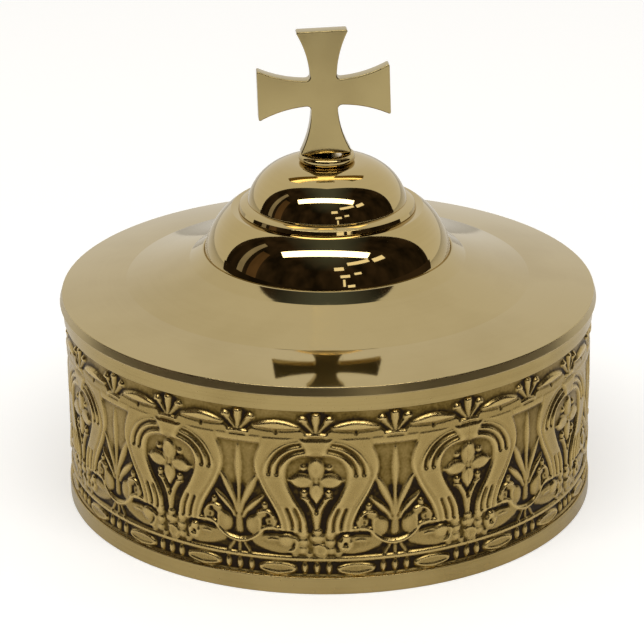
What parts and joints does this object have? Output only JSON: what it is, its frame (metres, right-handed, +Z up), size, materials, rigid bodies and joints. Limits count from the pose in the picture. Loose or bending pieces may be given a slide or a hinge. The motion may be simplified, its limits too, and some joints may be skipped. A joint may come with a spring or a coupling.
{
  "type": "pyx",
  "caption": "Round standing brass pyx for altar breads: a box with a struck frieze of lyres and sprigs, under a lift-off lid whose stacked domes carry a flared cross.",
  "frame": {"origin": "on the table, under the middle of the foot", "axes": "+Z up along the axis of the box, -Y out of the front face of the cross"},
  "size_m": [0.152, 0.152, 0.1351],
  "materials": {
    "polished_lid": "polished brass with a fine satin haze",
    "mirror_brass": "mirror-polished spun brass",
    "cross_brass": "polished cast brass",
    "struck_frieze": "struck relief, polished on its highs and dark in its recesses",
    "turned_mouldings": "turned brass, lightly worn",
    "gilt_inside": "bright gilding",
    "fixings": "plain turned brass"
  },
  "bodies": {
    "box": {"inner_cup": "gilt_inside", "foot_ring": "turned_mouldings", "rim_ring": "turned_mouldings", "frieze_band": "struck_frieze"},
    "lid": {"lid_plate": "polished_lid", "locating_ring": "gilt_inside", "lower_dome": "mirror_brass", "step_ring": "mirror_brass", "upper_dome": "mirror_brass", "cross_collar": "mirror_brass", "cross": "cross_brass", "tie_stud": "fixings", "stud_washer": "fixings", "stud_nut": "fixings"}
  },
  "joints": [
    {"name": "lid_lift", "type": "slide", "parent": "box", "child": "lid", "axis": [0, 0, 1], "range_m": [0, 0.12]}
  ]
}
